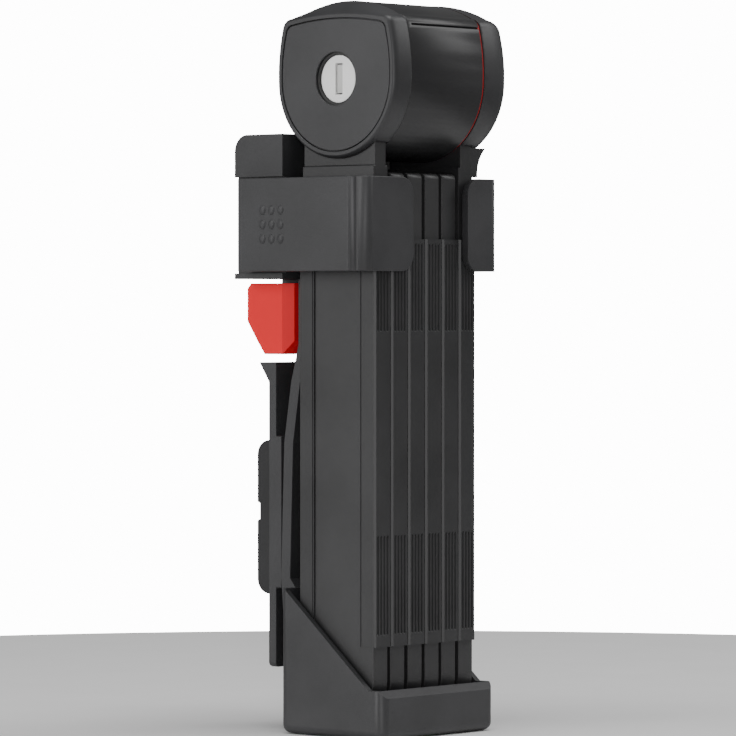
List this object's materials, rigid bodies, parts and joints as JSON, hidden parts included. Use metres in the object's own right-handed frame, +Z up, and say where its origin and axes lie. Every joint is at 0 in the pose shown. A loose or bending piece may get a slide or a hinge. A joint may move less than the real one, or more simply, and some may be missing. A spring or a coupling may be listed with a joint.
{
  "type": "folding bike lock",
  "caption": "Folding bicycle lock: steel links riveted end to end, stacked under a round key head, standing in a frame holder with clamp arms and a red release lever.",
  "frame": {"origin": "centre of the holder cup underside", "axes": "+Z up along the links, +Y towards the bicycle frame, X along the key axis with the key side at -X"},
  "size_m": [0.06, 0.0623, 0.2146],
  "materials": {
    "coated_steel": "satin",
    "grip_plastic": "matte",
    "pin_steel": "satin",
    "washer_plastic": "matte",
    "nickel": "satin",
    "shutter_dark": "satin",
    "rubber": "matte",
    "lever_red": "satin",
    "accent_red": "satin",
    "head_gloss": "gloss",
    "head_satin": "satin",
    "head_metal": "matte",
    "holder_plastic": "satin"
  },
  "bodies": {
    "holder": {"holder_cup": "holder_plastic", "holder_spine": "holder_plastic", "mount_rail": "holder_plastic", "rail_screws": "pin_steel", "frame_pad": "rubber", "clamp_housing": "holder_plastic", "housing_screws": "pin_steel", "arm_pins": "pin_steel"},
    "link_stack": {"link_1_bar": "coated_steel", "link_2_bar": "coated_steel", "link_3_bar": "coated_steel", "link_6_bar": "coated_steel", "link_1_rails": "grip_plastic", "link_2_rails": "grip_plastic", "link_3_rails": "grip_plastic", "link_6_rails": "grip_plastic", "link_6_guard": "head_satin", "lower_rivets": "pin_steel", "upper_rivet_23": "pin_steel", "rivet_washers": "washer_plastic"},
    "link_4": {"link_4_bar": "coated_steel", "link_4_rails": "grip_plastic", "upper_rivet_45": "pin_steel", "washer_45": "washer_plastic"},
    "link_5": {"link_5_bar": "coated_steel", "link_5_rails": "grip_plastic"},
    "head": {"head_core": "head_metal", "head_shell": "head_gloss", "near_bezel": "head_satin", "key_plate": "head_satin", "far_cheek": "head_satin", "accent_ring": "accent_red", "cheek_screws": "pin_steel", "cylinder_housing": "head_metal"},
    "key_cylinder": {"key_plug": "nickel", "locking_discs": "pin_steel", "drive_cam": "pin_steel"},
    "shutter": {"keyway_shutter": "shutter_dark"},
    "bolt": {"lock_bolt": "pin_steel"},
    "near_arm": {"arm_near": "holder_plastic", "pad_near": "rubber"},
    "far_arm": {"arm_far": "holder_plastic", "pad_far": "rubber"},
    "lever": {"release_lever": "lever_red", "lever_pin": "pin_steel", "lever_spring": "pin_steel"}
  },
  "joints": [
    {"name": "lock_lift", "type": "slide", "parent": "holder", "child": "link_stack", "axis": [0, 0, 1], "range_m": [0, 0.19]},
    {"name": "link_4_hinge", "type": "hinge", "parent": "link_stack", "child": "link_4", "pos_m": [0, 0, 0.0168], "axis": [1, 0, 0], "range_deg": [0, 37]},
    {"name": "link_5_hinge", "type": "hinge", "parent": "link_stack", "child": "link_5", "pos_m": [0.0112, 0, 0.0168], "axis": [1, 0, 0], "range_deg": [0, 37]},
    {"name": "head_swing", "type": "hinge", "parent": "link_stack", "child": "head", "pos_m": [0, 0, 0.1916], "axis": [-1, 0, 0], "range_deg": [0, 45]},
    {"name": "key_turn", "type": "hinge", "parent": "head", "child": "key_cylinder", "pos_m": [0, 0, 0.1916], "axis": [1, 0, 0], "range_deg": [0, 90]},
    {"name": "bolt_slide", "type": "slide", "parent": "head", "child": "bolt", "axis": [1, 0, 0], "range_m": [-0.006, 0]},
    {"name": "shutter_slide", "type": "slide", "parent": "key_cylinder", "child": "shutter", "axis": [1, 0, 0], "range_m": [0, 0.003], "stiffness_N_per_m": 60, "springref_m": -0.001},
    {"name": "lever_pull", "type": "hinge", "parent": "holder", "child": "lever", "pos_m": [0, 0.034, 0.127], "axis": [1, 0, 0], "range_deg": [0, 12], "stiffness_Nm_per_rad": 0.3, "springref_deg": -17.19},
    {"name": "near_arm_hinge", "type": "hinge", "parent": "holder", "child": "near_arm", "pos_m": [-0.0218, 0.03, 0.149], "axis": [0, 0, -1], "range_deg": [0, 12]},
    {"name": "far_arm_hinge", "type": "hinge", "parent": "holder", "child": "far_arm", "pos_m": [0.0218, 0.03, 0.149], "axis": [0, 0, 1], "range_deg": [0, 12]}
  ],
  "couplings": [
    {"joint": "link_5_hinge", "follows": "link_4_hinge", "ratio": 1},
    {"joint": "bolt_slide", "follows": "key_turn", "m_per_rad": -0.0038197},
    {"joint": "near_arm_hinge", "follows": "lever_pull", "ratio": 1},
    {"joint": "far_arm_hinge", "follows": "lever_pull", "ratio": 1}
  ]
}
